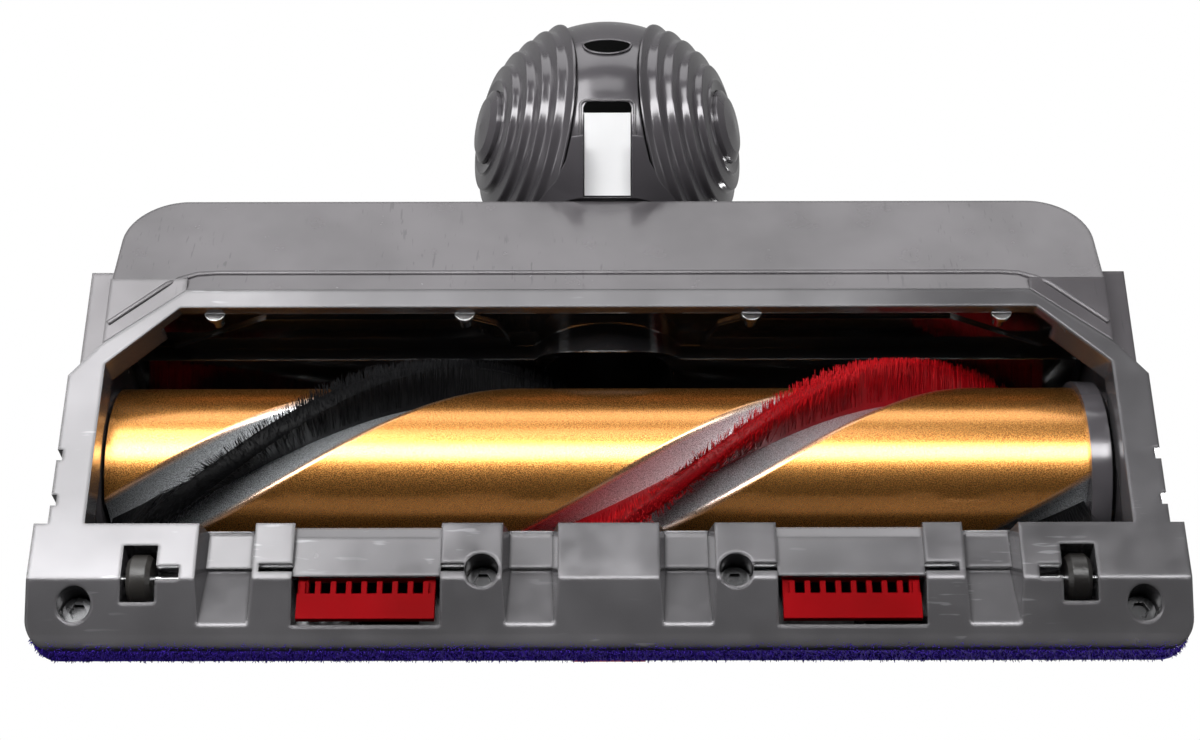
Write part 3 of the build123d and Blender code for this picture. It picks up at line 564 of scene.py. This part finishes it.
# Floor for the views from above, white and glowing as painted light towards its far reaches, and light all
# round
FLOOR_REACH, FLOOR_Z = 40, -0.0002
floor_corners = [(x * FLOOR_REACH, y * FLOOR_REACH, FLOOR_Z) for x, y in ((-1, -1), (1, -1), (1, 1), (-1, 1))]
floor_mesh = bpy.data.meshes.new("floor")
floor_mesh.from_pydata(floor_corners, [], [(0, 1, 2, 3)])
floor = bpy.data.objects.new("floor", floor_mesh)
bpy.context.scene.collection.objects.link(floor)
floor_material, graph, shader = tree("floor_white_painted_glow")
graph.links.new(ramp(graph, noise(graph, 3.0), [(0.3, 0.86), (0.7, 0.88)]), shader.inputs["Base Color"])
shader.inputs["Roughness"].default_value = 0.7
clear = graph.nodes.new("ShaderNodeBsdfTransparent")
facing = graph.nodes.new("ShaderNodeNewGeometry")
choose = graph.nodes.new("ShaderNodeMixShader")
# Painted light: the floor glows more the further it lies from the origin, whitening the far floor where the
# lamps' light falls off.
away = add(graph, "ShaderNodeVectorMath", operation="LENGTH")
graph.links.new(facing.outputs["Position"], away.inputs[0])
spread = add(graph, "ShaderNodeMapRange", From_Min=0.3, From_Max=1.6)
graph.links.new(away.outputs["Value"], spread.inputs["Value"])
graph.links.new(spread.outputs["Result"], shader.inputs["Emission Strength"])
shader.inputs["Emission Color"].default_value = (0.88, 0.88, 0.88, 1)
graph.links.new(facing.outputs["Backfacing"], choose.inputs["Fac"])
graph.links.new(shader.outputs["BSDF"], choose.inputs[1])
graph.links.new(clear.outputs["BSDF"], choose.inputs[2])
graph.links.new(choose.outputs["Shader"], graph.nodes["Material Output"].inputs["Surface"])
floor_mesh.materials.append(floor_material)
floor.visible_diffuse = False
floor.visible_glossy = False
floor.visible_transmission = False
floor.visible_shadow = False

world = bpy.data.worlds.new("room")
bpy.context.scene.world = world
world.use_nodes = True
graph = world.node_tree
background = graph.nodes["Background"]
seen = graph.nodes.new("ShaderNodeLightPath")
room = add(graph, "ShaderNodeBackground", Strength=0.42)
way = graph.nodes.new("ShaderNodeTexCoord")
apart = graph.nodes.new("ShaderNodeSeparateXYZ")
graph.links.new(way.outputs["Generated"], apart.inputs["Vector"])
rise = add(graph, "ShaderNodeMath", operation="MULTIPLY_ADD")
rise.inputs[1].default_value = 0.6
graph.links.new(apart.outputs["Z"], rise.inputs[0])
graph.links.new(apart.outputs["Y"], rise.inputs[2])
rearward = add(graph, "ShaderNodeMapRange", From_Min=-1.2, From_Max=1.2)
graph.links.new(rise.outputs["Value"], rearward.inputs["Value"])
shade = ramp(graph, rearward.outputs["Result"], [(0.05, 0.03), (0.35, 0.12), (0.65, 0.5), (1.0, 0.8)])
graph.links.new(shade, room.inputs["Color"])
background.inputs["Color"].default_value = (1, 1, 1, 1)
background.inputs["Strength"].default_value = 1.0
pick = graph.nodes.new("ShaderNodeMixShader")
graph.links.new(seen.outputs["Is Camera Ray"], pick.inputs["Fac"])
graph.links.new(room.outputs["Background"], pick.inputs[1])
graph.links.new(background.outputs["Background"], pick.inputs[2])
graph.links.new(pick.outputs["Shader"], graph.nodes["World Output"].inputs["Surface"])


def lamp(name, at, aim, size, power, lean=0.0):
    """A rectangular lamp aimed at a point, its width level along X and turned by lean degrees."""
    light = bpy.data.lights.new(name, "AREA")
    light.shape = "RECTANGLE"
    light.size, light.size_y = size
    light.energy = power
    thing = bpy.data.objects.new(name, light)
    ray = (Vector(aim) - Vector(at)).normalized()
    width = (Vector((1, 0, 0)) - ray * ray.x).normalized()
    if abs(ray.x) > 0.8:
        width = (Vector((0, 1, 0)) - ray * ray.y).normalized()
    width.rotate(Matrix.Rotation(math.radians(lean), 3, ray))
    height = width.cross(ray)
    thing.matrix_world = Matrix.Translation(at) @ Matrix((width, height, -ray)).transposed().to_4x4()
    bpy.context.scene.collection.objects.link(thing)
    return thing


lamp("key_below", (0.08, ROLL_Y + 0.09, -0.65), (0.02, ROLL_Y, 0.02), (0.95, 0.2), 7.0, 4.0)
lamp("rear_below", (0.1, ROLL_Y + 0.75, -0.35), (0, ROLL_Y + 0.05, 0.02), (1.4, 0.4), 3.2)
lamp("left_low", (0.31, ROLL_Y + 0.35, -0.65), (0.08, ROLL_Y, 0.0), (0.28, 0.3), 1.5)
lamp("middle_low", (0.0, ROLL_Y + 0.42, -0.65), (0.0, ROLL_Y, 0.0), (0.34, 0.16), 0.4)
lamp("left_strip", (0.7, ROLL_Y - 0.1, -0.3), (0, ROLL_Y, 0.02), (0.5, 0.2), 0.9)
lamp("right_strip", (-0.7, ROLL_Y - 0.1, -0.25), (0, ROLL_Y, 0.02), (0.5, 0.15), 0.5)
lamp("key_above", (-0.4, ROLL_Y - 0.5, 0.8), (0, ROLL_Y + 0.05, 0.03), (0.6, 0.6), 17.0)
fill = lamp("fill_above", (0.0, ROLL_Y + 1.0, 0.5), (0, ROLL_Y + 0.05, 0.03), (0.5, 0.3), 10.0)
fill.visible_glossy = False
